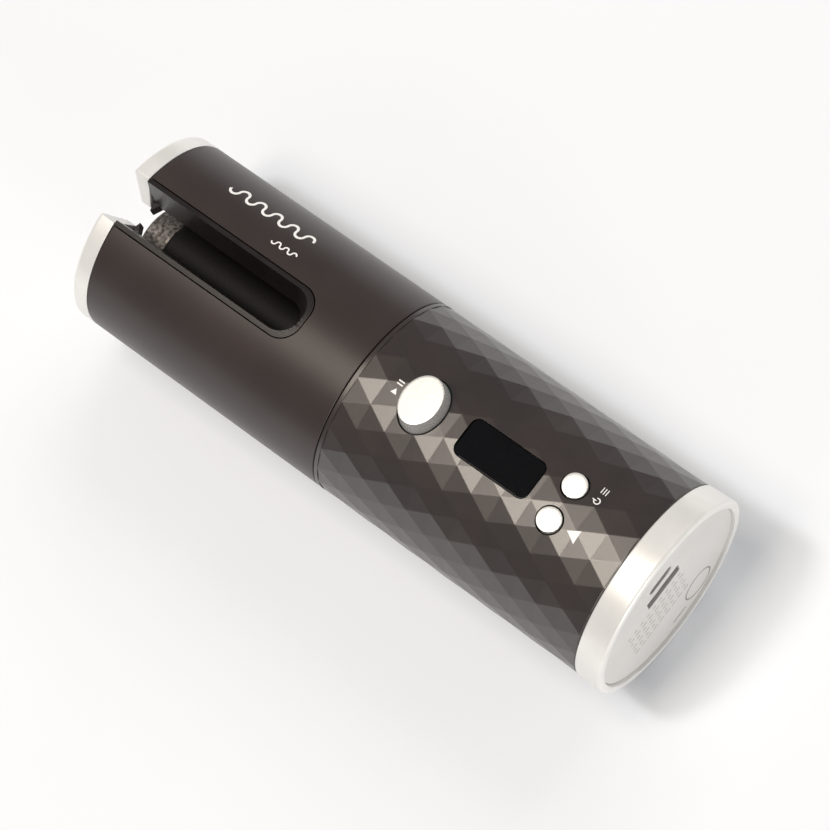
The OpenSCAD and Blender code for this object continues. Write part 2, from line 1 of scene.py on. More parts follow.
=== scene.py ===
"""Cordless automatic hair curler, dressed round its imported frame.

The body lies along X with its tip at -X. Z points to the hair slot and the buttons.
Every place comes from the frame; the sizes given here are those of finish and trim.
"""

import logging
import math
from collections.abc import Callable
from dataclasses import dataclass, field
from enum import Enum

import bpy
from mathutils import Euler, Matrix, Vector


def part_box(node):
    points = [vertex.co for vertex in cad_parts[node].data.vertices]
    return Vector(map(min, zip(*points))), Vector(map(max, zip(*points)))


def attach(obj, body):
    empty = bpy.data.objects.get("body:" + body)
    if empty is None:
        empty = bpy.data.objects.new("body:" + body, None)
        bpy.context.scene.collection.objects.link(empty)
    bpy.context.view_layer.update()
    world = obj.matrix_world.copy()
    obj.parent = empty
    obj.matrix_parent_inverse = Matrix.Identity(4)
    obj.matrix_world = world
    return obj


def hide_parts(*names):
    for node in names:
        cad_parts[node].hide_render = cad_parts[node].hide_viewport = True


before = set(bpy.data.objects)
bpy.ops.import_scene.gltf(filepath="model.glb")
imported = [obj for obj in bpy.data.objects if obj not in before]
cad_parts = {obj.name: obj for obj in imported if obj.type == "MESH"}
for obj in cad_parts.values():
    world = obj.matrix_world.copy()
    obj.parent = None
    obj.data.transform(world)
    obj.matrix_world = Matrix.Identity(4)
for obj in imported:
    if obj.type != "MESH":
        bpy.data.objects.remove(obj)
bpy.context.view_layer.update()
LOG = logging.getLogger("curler")
MM = 0.001
ROUND = 192


class Body(Enum):
    """The moving groups that a piece can ride on."""

    CASE = "body"
    BARREL = "rotating_barrel"
    START = "start_button"
    POWER = "power_button"
    SETTINGS = "settings_button"


# ---------------------------------------------------------------- workshop


def deselect() -> None:
    """Leaves nothing selected or active."""
    if bpy.context.object and bpy.context.object.mode != "OBJECT":
        bpy.ops.object.mode_set(mode="OBJECT")
    bpy.ops.object.select_all(action="DESELECT")


def pick(*things: bpy.types.Object) -> None:
    """Selects the given objects only, and makes the first one active."""
    deselect()
    for thing in things:
        thing.select_set(True)
    bpy.context.view_layer.objects.active = things[0]


def edit(piece: bpy.types.Object, action: str = "SELECT") -> None:
    """Opens a piece in edit mode, with all of it selected or, on DESELECT, none of it."""
    pick(piece)
    bpy.ops.object.mode_set(mode="EDIT")
    bpy.ops.mesh.select_all(action=action)


def edit_some(piece: bpy.types.Object, parts: str, chosen: Callable) -> None:
    """Opens a piece in edit mode with only those of its edges or polygons selected that are chosen."""
    edit(piece, "DESELECT")
    stop_edit()
    for part in getattr(piece.data, parts):
        part.select = chosen(part)
    bpy.ops.object.mode_set(mode="EDIT")


def stop_edit() -> None:
    """Goes back to object mode."""
    bpy.ops.object.mode_set(mode="OBJECT")


def settle(piece: bpy.types.Object) -> bpy.types.Object:
    """Moves a piece's place into its mesh, so that its object sits at the origin."""
    pick(piece)
    bpy.ops.object.transform_apply(location=True, rotation=True, scale=True)
    return piece


def apply_modifier(piece: bpy.types.Object, kind: str, settings: dict) -> None:
    """Adds a modifier and applies it.

    Args:
        piece: The piece to change.
        kind: The modifier's type.
        settings: The modifier's options by name.
    """
    pick(piece)
    modifier = piece.modifiers.new(kind.lower(), kind)
    for name, value in settings.items():
        setattr(modifier, name, value)
    bpy.ops.object.modifier_apply(modifier=modifier.name)


def cut(piece: bpy.types.Object, tool: bpy.types.Object) -> None:
    """Cuts a closed tool out of a closed piece and throws the tool away."""
    apply_modifier(piece, "BOOLEAN", {"object": tool, "operation": "DIFFERENCE", "solver": "EXACT"})
    bpy.data.objects.remove(tool)


def ease_edges(piece: bpy.types.Object, width: float, angle: float, segments: int = 3) -> None:
    """Rounds every edge that is sharper than an angle.

    Args:
        piece: The piece to change.
        width: Width of the rounding, in millimetres.
        angle: The smallest angle between faces that counts, in degrees.
        segments: Faces across the rounding.
    """
    apply_modifier(piece, "BEVEL", {
        "width": width * MM, "segments": segments, "limit_method": "ANGLE",
        "angle_limit": math.radians(angle), "use_clamp_overlap": True})


def shade(piece: bpy.types.Object, angle: float = 35.0, weigh: bool = True) -> None:
    """Smooths the shading below an angle, and keeps broad faces flat beside rounded edges."""
    pick(piece)
    bpy.ops.object.shade_smooth_by_angle(angle=math.radians(angle))
    if weigh:
        apply_modifier(piece, "WEIGHTED_NORMAL", {"keep_sharp": True, "weight": 60})


def clean(piece: bpy.types.Object, reach: float = 0.002) -> None:
    """Merges doubled points and turns every face outwards."""
    edit(piece)
    bpy.ops.mesh.remove_doubles(threshold=reach * MM)
    bpy.ops.mesh.normals_make_consistent(inside=False)
    stop_edit()


def turned(name: str, outline: list, centre: tuple, sides: int = ROUND) -> bpy.types.Object:
    """Turns an outline about a line along X, as on a lathe.

    Args:
        name: The piece's name.
        outline: Points of (x, radius), in metres. Where the last point is the first one again the
            piece is a ring; otherwise both ends are closed with a flat face.
        centre: The (y, z) of the line.
        sides: Faces round the piece.

    Returns:
        The new piece.
    """
    deselect()
    (x, radius), rest = outline[0], outline[1:]
    ring = outline[-1] == outline[0]
    bpy.ops.mesh.primitive_circle_add(vertices=sides, radius=radius, location=(x, *centre),
                                      rotation=(0, math.pi / 2, 0),
                                      fill_type="NOTHING" if ring else "NGON")
    piece = bpy.context.object
    piece.name = name
    settle(piece)
    edit(piece)
    for next_x, next_radius in rest:
        bpy.ops.mesh.extrude_edges_move() if ring else bpy.ops.mesh.extrude_region()
        if next_x != x:
            bpy.ops.transform.translate(value=(next_x - x, 0, 0))
        if next_radius != radius:
            scale = next_radius / radius
            bpy.ops.transform.resize(value=(1, scale, scale), center_override=(next_x, *centre))
        x, radius = next_x, next_radius
    stop_edit()
    clean(piece)
    return piece


def corner(x: float, radius: float, size: float, start: float, steps: int = 6) -> list:
    """Points of a quarter round on an outline.

    Args:
        x: Place of the round's centre along X.
        radius: Radius of the round's centre from the axis.
        size: Radius of the round itself.
        start: Direction of its first point, in degrees from +X towards outwards.
        steps: Stretches in the quarter; a negative number runs it backwards.

    Returns:
        The points, as (x, radius).
    """
    way = math.copysign(90, steps)
    turns = [math.radians(start + way * step / abs(steps)) for step in range(abs(steps) + 1)]
    return [(x + size * math.cos(turn), radius + size * math.sin(turn)) for turn in turns]


def upright(name: str, place: tuple, size: tuple, height: float, sides: int) -> bpy.types.Object:
    """A straight column with an oval section, standing along Z.

    Args:
        name: The piece's name.
        place: Centre of its lower face.
        size: Its length along X and along Y.
        height: Its height.
        sides: Faces round it.

    Returns:
        The new piece.
    """
    deselect()
    bpy.ops.mesh.primitive_cylinder_add(vertices=sides, radius=0.5, depth=height,
                                        location=(place[0], place[1], place[2] + height / 2))
    piece = bpy.context.object
    piece.name = name
    piece.scale = (size[0], size[1], 1)
    return settle(piece)


def tablet(name: str, low: tuple, high: tuple, radius: float) -> bpy.types.Object:
    """A block whose four upright edges are round.

    Args:
        name: The piece's name.
        low: Its lowest corner.
        high: Its highest corner.
        radius: Radius of the upright edges.

    Returns:
        The new piece.
    """
    deselect()
    middle = [(a + b) / 2 for a, b in zip(low, high)]
    bpy.ops.mesh.primitive_cube_add(size=1, location=middle)
    piece = bpy.context.object
    piece.name = name
    piece.scale = [b - a for a, b in zip(low, high)]
    settle(piece)
    points = piece.data.vertices
    edit_some(piece, "edges", lambda edge: abs(
        points[edge.vertices[0]].co.z - points[edge.vertices[1]].co.z) > 0.9 * (high[2] - low[2]))
    bpy.ops.mesh.select_mode(type="EDGE")
    bpy.ops.mesh.bevel(offset=radius, segments=10, affect="EDGES")
    stop_edit()
    return piece


def trace(node: str, name: str, flat: float = 0.5) -> bpy.types.Object:
    """Copies a frame node, merged and with its flat faces joined, ready for its edges to be eased."""
    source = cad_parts[node]
    deselect()
    piece = bpy.data.objects.new(name, source.data.copy())
    bpy.context.scene.collection.objects.link(piece)
    if piece.data.has_custom_normals:
        pick(piece)
        bpy.ops.mesh.customdata_custom_splitnormals_clear()
    edit(piece)
    bpy.ops.mesh.remove_doubles(threshold=0.002 * MM)
    bpy.ops.mesh.dissolve_limited(angle_limit=math.radians(flat))
    stop_edit()
    return piece


# ---------------------------------------------------------------- finishes


def colour(code: str) -> tuple:
    """Linear RGBA for an sRGB hex code."""
    values = [int(code[i:i + 2], 16) / 255 for i in (1, 3, 5)]
    return tuple(v / 12.92 if v <= 0.04045 else ((v + 0.055) / 1.055) ** 2.4 for v in values) + (1.0,)


def add_node(tree: bpy.types.NodeTree, kind: str, settings: dict, feeds: dict) -> bpy.types.Node:
    """Adds one node to a material.

    Args:
        tree: The material's node tree.
        kind: The node's type.
        settings: Its options by name.
        feeds: A value or another node's output for each of its inputs, by name or number.

    Returns:
        The new node.
    """
    made = tree.nodes.new(kind)
    for name, value in settings.items():
        setattr(made, name, value)
    for name, value in feeds.items():
        if isinstance(value, bpy.types.NodeSocket):
            tree.links.new(value, made.inputs[name])
        else:
            made.inputs[name].default_value = value
    return made


def grain_scale(size: float) -> float:
    """Noise scale that gives features of a size in millimetres."""
    return 1 / (size * MM)


@dataclass(frozen=True)
class Finish:
    """A surface with two colours mixed in soft patches, an uneven gloss and a fine grain.

    Attributes:
        name: What the material is.
        base: Main colour.
        tint: Colour of the patches.
        patch: Size of the patches, in millimetres.
        grain: Size of the surface grain, in millimetres.
        relief: Height of the grain, in millimetres.
        rough: Lowest and highest roughness.
        metallic: 1 for bare metal, 0 for anything else.
        coat: Strength of a clear coat.
        ior: Index of refraction.
        stretch: How much the grain is drawn out along X, Y and Z.
    """

    name: str
    base: str
    tint: str
    patch: float = 8.0
    grain: float = 0.3
    relief: float = 0.004
    rough: tuple = (0.35, 0.45)
    metallic: float = 0.0
    coat: float = 0.0
    ior: float = 1.5
    stretch: tuple = (1.0, 1.0, 1.0)

    def build(self) -> bpy.types.Material:
        """The Blender material of this finish, made once."""
        known = bpy.data.materials.get(self.name)
        if known:
            return known
        material = bpy.data.materials.new(self.name)
        material.use_nodes = True
        tree = material.node_tree
        tree.nodes.clear()
        where = add_node(tree, "ShaderNodeTexCoord", {}, {}).outputs["Object"]
        drawn = add_node(tree, "ShaderNodeMapping", {}, {"Vector": where, "Scale": self.stretch})
        patches = add_node(tree, "ShaderNodeTexNoise", {},
                           {"Vector": drawn.outputs[0], "Scale": grain_scale(self.patch), "Detail": 3.0})
        grains = add_node(tree, "ShaderNodeTexNoise", {},
                          {"Vector": drawn.outputs[0], "Scale": grain_scale(self.grain), "Detail": 2.0})
        paint = add_node(tree, "ShaderNodeValToRGB", {}, {"Fac": self.pattern(tree, where, patches)})
        paint.color_ramp.elements[0].color = colour(self.base)
        paint.color_ramp.elements[0].position = 0.35
        paint.color_ramp.elements[1].color = colour(self.tint)
        paint.color_ramp.elements[1].position = 0.68
        gloss = add_node(tree, "ShaderNodeMapRange", {},
                         {"Value": grains.outputs["Fac"], "From Min": 0.3, "From Max": 0.7,
                          "To Min": self.rough[0], "To Max": self.rough[1]})
        bump = add_node(tree, "ShaderNodeBump", {},
                        {"Height": grains.outputs["Fac"], "Strength": 0.5, "Distance": self.relief * MM})
        shader = add_node(tree, "ShaderNodeBsdfPrincipled", {},
                          {"Base Color": paint.outputs["Color"], "Roughness": gloss.outputs["Result"],
                           "Normal": bump.outputs["Normal"], "Metallic": self.metallic,
                           "IOR": self.ior, "Coat Weight": self.coat, "Coat Roughness": 0.08})
        add_node(tree, "ShaderNodeOutputMaterial", {}, {"Surface": shader.outputs["BSDF"]})
        return material

    def pattern(self, tree: bpy.types.NodeTree, where: bpy.types.NodeSocket,
                patches: bpy.types.Node) -> bpy.types.NodeSocket:
        """The output that mixes the two colours: here the soft patches."""
        return patches.outputs["Fac"]


@dataclass(frozen=True)
class Turned(Finish):
    """Metal cut on a lathe or drawn: fine lines round the X axis.

    Attributes:
        pitch: Distance between the tool lines, in millimetres, drawn coarser than life to show.
    """

    pitch: float = 0.4

    def pattern(self, tree: bpy.types.NodeTree, where: bpy.types.NodeSocket,
                patches: bpy.types.Node) -> bpy.types.NodeSocket:
        """Bands across X, broken up a little by the patches."""
        lines = add_node(tree, "ShaderNodeTexWave", {"wave_type": "BANDS", "bands_direction": "X"},
                         {"Vector": where, "Scale": grain_scale(self.pitch) / 20, "Distortion": 1.5,
                          "Detail": 2.0})
        mixed = add_node(tree, "ShaderNodeMath", {"operation": "MULTIPLY"},
                         {0: lines.outputs["Fac"], 1: patches.outputs["Fac"]})
        return mixed.outputs[0]


@dataclass(frozen=True)
class CircuitMask(Finish):
    """Solder mask over copper: straight tracks show as lighter lines.

    Attributes:
        track: Distance between tracks, in millimetres.
    """

    track: float = 1.6

    def pattern(self, tree: bpy.types.NodeTree, where: bpy.types.NodeSocket,
                patches: bpy.types.Node) -> bpy.types.NodeSocket:
        """Cell borders of a squared-off pattern, as tracks and pads."""
        cells = add_node(tree, "ShaderNodeTexVoronoi", {"distance": "MANHATTAN", "feature": "F1"},
                         {"Vector": where, "Scale": grain_scale(self.track * 2), "Randomness": 0.7})
        return cells.outputs["Distance"]


# Satin moulding in ABS under a soft-feel lacquer: broad, gentle highlights
SATIN_SHELL = Finish("satin_brown_abs", "#352d2b", "#3a3230", patch=25, grain=0.22, relief=0.003,
                     rough=(0.34, 0.4))
# The same ABS with a pearl lacquer on the facets: each face catches the light at once
PEARL_GRIP = Finish("pearl_brown_abs", "#2c2422", "#332a27", patch=14, grain=0.25, relief=0.004,
                    rough=(0.28, 0.34), ior=1.85)
# The facet ridges a little lighter than the facets: a painted highlight for the thin light lines along the
# ridges
PEARL_RIDGE_HIGHLIGHT = Finish("facet_ridge_painted_highlight", "#413834", "#4a403c", patch=6, grain=0.25, relief=0.002,
                     rough=(0.28, 0.34), ior=1.85)
# Silver lacquer on ABS: bright, even and close to white, with a fine sparkle
SILVER_LACQUER = Finish("silver_lacquer", "#efeeeb", "#f5f4f1", patch=8, grain=0.2, relief=0.003,
                        rough=(0.3, 0.38), metallic=0.3)
# Plated button tops: smoother silver than the caps
SILVER_PLATE = Finish("silver_plate", "#eae9e6", "#f0efec", patch=8, grain=0.3, relief=0.0005,
                      rough=(0.25, 0.28), metallic=0.6)
# Fine satin ABS of the end plate, light grey
GREY_ABS = Finish("light_grey_abs", "#dad9d6", "#e0dfdc", patch=20, grain=0.18, relief=0.004,
                  rough=(0.38, 0.46))
# Heat-resistant nylon of the slot liner: near black, satin
LINER_NYLON = Finish("heat_resistant_nylon", "#1d1918", "#252020", patch=9, grain=0.2, relief=0.005,
                     rough=(0.3, 0.4))
# Polished acrylic over a dark screen
BLACK_LENS = Finish("polished_black_acrylic", "#050507", "#08080c", patch=30, grain=1.5, relief=0.0005,
                    rough=(0.05, 0.08), ior=1.38)
# Ceramic coat fired on aluminium: black with a fine speckle
CERAMIC_COAT = Finish("black_ceramic_coat", "#0b0a0a", "#141111", patch=0.6, grain=0.25, relief=0.003,
                      rough=(0.55, 0.65), ior=1.4)
# Aluminium that has been hot: mottled greys
HOT_METAL = Finish("heat_mottled_aluminium", "#4a4644", "#a39d99", patch=1.1, grain=0.35, relief=0.01,
                   rough=(0.42, 0.55), metallic=0.6)
# Pad printing in white ink
WHITE_INK = Finish("white_pad_ink", "#f4f2ee", "#ffffff", patch=0.6, grain=0.15, relief=0.002,
                   rough=(0.5, 0.6))
# Pad printing in grey ink
GREY_INK = Finish("grey_pad_ink", "#8f8b89", "#999593", patch=0.6, grain=0.15, relief=0.002,
                  rough=(0.5, 0.6))
STEEL = Turned("ground_steel", "#8d8d8e", "#b4b4b5", patch=2, rough=(0.25, 0.38), metallic=1.0)
ZINC_SCREW = Finish("zinc_plated_steel", "#9a9ca0", "#b9b7a8", patch=1.2, rough=(0.3, 0.42), metallic=1.0)
BRASS = Turned("machined_brass", "#a8803a", "#cfa959", patch=2, rough=(0.22, 0.34), metallic=1.0)
BRONZE = Finish("sintered_bronze", "#8a6233", "#a87d48", patch=0.4, grain=0.15, relief=0.01,
                rough=(0.45, 0.6), metallic=1.0)
MOTOR_CAN = Turned("drawn_motor_can", "#94969a", "#b5b7ba", patch=6, rough=(0.28, 0.4), metallic=1.0)
PLATE_METAL = Finish("stamped_aluminium", "#9c9ea1", "#b3b5b8", patch=4, grain=0.3, rough=(0.35, 0.48),
                     metallic=1.0, stretch=(1.0, 0.1, 1.0))
ACETAL = Finish("natural_acetal", "#d9d3bf", "#e6e0cd", patch=6, grain=0.4, rough=(0.4, 0.5))
HOUSING_PPS = Finish("heat_resistant_pps", "#6e6252", "#7d7060", patch=5, grain=0.25, rough=(0.5, 0.62))
CHASSIS_ABS = Finish("chassis_abs", "#3c3c3e", "#454547", patch=10, grain=0.3, rough=(0.5, 0.6))
SILICONE = Finish("red_silicone", "#7d2c1d", "#8c3424", patch=3, grain=0.2, rough=(0.5, 0.65))
HEATER_CAST = Finish("cast_heater_aluminium", "#8f8b85", "#a6a29b", patch=1.5, grain=0.3, relief=0.02,
                     rough=(0.5, 0.65), metallic=0.9)
GLASS_BEAD = Finish("glazed_sensor_bead", "#a8591f", "#c7772e", patch=1, grain=0.3, rough=(0.1, 0.18))
FUSE_BODY = Finish("fuse_ceramic", "#c4c1ba", "#dedbd4", patch=1, grain=0.2, rough=(0.3, 0.4))
# Pressed shell of a charging socket, coloured dark brown as painted shade: the shade inside its opening
SOCKET_SHELL_SHADE = Finish("charging_socket_shell_painted_shade", "#4b403c", "#5a4c46", patch=2, grain=0.3, rough=(0.35, 0.45),
                      metallic=0.5)
WIRE_WHITE = Finish("ptfe_insulation", "#d8d6d0", "#e6e4de", patch=2, grain=0.3, rough=(0.3, 0.4))
WIRE_BLUE = Finish("blue_pvc_insulation", "#1f3f8a", "#2a4c99", patch=2, grain=0.3, rough=(0.35, 0.45))
WIRE_RED = Finish("red_pvc_insulation", "#9b1c1c", "#ad2727", patch=2, grain=0.3, rough=(0.35, 0.45))
CELL_WRAP = Finish("cell_shrink_wrap", "#2a5d98", "#33699f", patch=12, grain=0.5, rough=(0.2, 0.3))
CRADLE_ABS = Finish("black_cradle_abs", "#1c1c1d", "#242425", patch=6, grain=0.3, rough=(0.45, 0.55))
NICKEL = Finish("nickel_strip", "#a39f93", "#bdb9ac", patch=2, grain=0.2, rough=(0.25, 0.4), metallic=1.0)
BOARD_MASK = CircuitMask("green_solder_mask", "#0d3f26", "#2c7a4d", rough=(0.25, 0.35), coat=0.3)
SWITCH_BODY = Finish("black_switch_nylon", "#19191a", "#222223", patch=2, grain=0.2, rough=(0.4, 0.5))
PLUNGER = Finish("plunger_acetal", "#8a2c22", "#97362b", patch=2, grain=0.2, rough=(0.35, 0.45))
SCREEN_BLOCK = Finish("display_backlight", "#20303a", "#2a3d49", patch=4, grain=0.3, rough=(0.2, 0.3))
FLOOR_PAPER = Finish("studio_paper", "#e0e3e8", "#e1e4e9", patch=60, grain=1.0, relief=0.002,
                     rough=(0.85, 0.9))


def dress(piece: bpy.types.Object, *finishes: Finish) -> None:
    """Gives a piece its finishes, one for each material slot."""
    slots = piece.data.materials
    for number, finish in enumerate(finishes):
        if number < len(slots):
            slots[number] = finish.build()
        else:
            slots.append(finish.build())


def place(piece: bpy.types.Object, finishes: list, body: Body, slot: str, *stands_for: str) -> None:
    """Dresses a finished piece, hangs it on its body and hides the frame nodes that it stands for.

    Args:
        piece: The finished piece.
        finishes: Its finishes, one for each material slot.
        body: The body that it moves with.
        slot: The record's material slot; not used.
        stands_for: The frame nodes that it replaces.
    """
    dress(piece, *finishes)
    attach(piece, body.value)
    if stands_for:
        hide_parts(*stands_for)
    LOG.info("%s: %d faces on %s", piece.name, len(piece.data.polygons), body.value)


# ---------------------------------------------------------------- the body's own layout


def span(node: str, axis: int) -> tuple:
    """The lowest and highest place of a frame node along one axis."""
    low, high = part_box(node)
    return low[axis], high[axis]


@dataclass(frozen=True)
class Layout:
    """Places that every casing shares, read from the frame, in metres."""

    axis: float = sum(span("base_cap", 2)) / 2
    tip: float = span("top_cap", 0)[0]
    end: float = span("base_cap", 0)[1]
    rim_radius: float = (span("base_cap", 1)[1] - span("base_cap", 1)[0]) / 2
    tip_radius: float = span("top_cap", 1)[1]
    base_radius: float = span("grip_shell", 1)[1]
    shell: tuple = span("barrel_shell", 0)
    grip: tuple = span("grip_shell", 0)
    wall: float = 2.3 * MM
    start_collar: float = 1.4 * MM
    key_collar: float = 1.1 * MM
    window_ledge: float = 0.8 * MM
    window_shift: float = 0.3 * MM
    window_corner: float = 2.5 * MM

    def radius(self, x: float) -> float:
        """Outer radius of the body at a place along X."""
        share = (x - self.shell[0]) / (self.grip[1] - self.shell[0])
        return self.tip_radius + (self.base_radius - self.tip_radius) * share

    @property
    def line(self) -> tuple:
        """The (y, z) of the body's own axis."""
        return (0.0, self.axis)


LAYOUT = Layout()


# ---------------------------------------------------------------- winding end


@dataclass
class WindingEnd:
    """The slotted end: silver tip cap, smooth shell and the liner that trims the slot."""

    slot_half: float = 9.1 * MM
    slot_end: float = LAYOUT.tip + 72.5 * MM
    slot_corner: float = 7.1 * MM
    chamfer: float = 0.22 * MM
    past: float = 20 * MM

    def build_shell(self) -> None:
        """The smooth shell, with fine chamfers at its seams and along the slot."""
        x0, x1 = LAYOUT.shell
        outer0, outer1 = LAYOUT.radius(x0), LAYOUT.radius(x1)
        inner = outer1 - LAYOUT.wall
        edge = self.chamfer
        front = [(x0, outer0 - edge), (x0 + edge, outer0)]
        back = [(x1 - edge, outer1), (x1, outer1 - edge)]
        outline = [front[1], (x0 + 4 * edge, outer0), (x1 - 4 * edge, outer1), *back,
                   (x1, inner), (x0, inner), *front]
        shell = turned("smooth_shell", outline, LAYOUT.line)
        slot = tablet("slot_tool", (x0 - self.past, -self.slot_half, LAYOUT.axis),
                      (self.slot_end, self.slot_half, LAYOUT.axis + outer0 + self.past), self.slot_corner)
        cut(shell, slot)
        clean(shell)
        ease_edges(shell, 0.18, 40, 2)
        shade(shell, 30)
        place(shell, [SATIN_SHELL], Body.CASE, "shell", "barrel_shell")

    def build_liner(self) -> None:
        """The slot liner, its bead and its combing teeth, with soft moulded edges."""
        liner = trace("slot_liner", "slot_liner_moulding", 0.4)
        ease_edges(liner, 0.25, 28, 2)
        shade(liner, 32)
        place(liner, [LINER_NYLON], Body.CASE, "liner", "slot_liner")

    def build_cap(self) -> None:
        """The silver cap at the tip, open at the slot."""
        cap = trace("top_cap", "tip_cap", 0.4)
        ease_edges(cap, 0.3, 28, 3)
        shade(cap, 32)
        place(cap, [SILVER_LACQUER], Body.CASE, "silver", "top_cap")

    def build(self) -> None:
        """All of the winding end."""
        self.build_shell()
        self.build_liner()
        self.build_cap()


@dataclass
class HeatedBarrel:
    """The barrel that turns in the slot, with the bare ring at its tip."""

    edge: float = 0.25 * MM
    tube_wall: float = 1.5 * MM
    face_rim: float = 3.0 * MM
    face_slope: float = 1.0 * MM
    face_dish: float = 0.6 * MM

    def build(self) -> None:
        """The black tube and the mottled ring, each with a rounded lip where they meet."""
        (x0, x1), radius = span("barrel_tube", 0), span("barrel_tube", 1)[1]
        e = self.edge
        bore = radius - self.tube_wall
        rim = radius - self.face_rim
        outline = [(x0, bore), (x0, radius - e)] + corner(x0 + e, radius - e, e, 180, -6)
        outline += [(x0 + 4 * e, radius), (x1 - e, radius), (x1, radius - e), (x1, bore), (x0, bore)]
        tube = turned("barrel_sleeve", outline, LAYOUT.line, 128)
        shade(tube)
        place(tube, [CERAMIC_COAT], Body.BARREL, "barrel", "barrel_tube")
        t0 = span("barrel_tip", 0)[0]
        ring = turned("barrel_tip_ring", [(t0 + self.face_dish, rim - self.face_slope), (t0, rim)]
                      + [(t0, radius - 2 * e)] + corner(t0 + 2 * e, radius - 2 * e, 2 * e, 180, -8)
                      + [(t0 + 5 * e, radius), (x0 - 5 * e, radius), (x0 - 2 * e, radius),
                         (x0 - e, radius - 0.3 * e), (x0 - 0.5 * e, radius - e), (x0 - 0.5 * e, bore)],
                      LAYOUT.line, 128)
        shade(ring)
        place(ring, [HOT_METAL], Body.BARREL, "barrel_ring", "barrel_tip")


# ---------------------------------------------------------------- grip


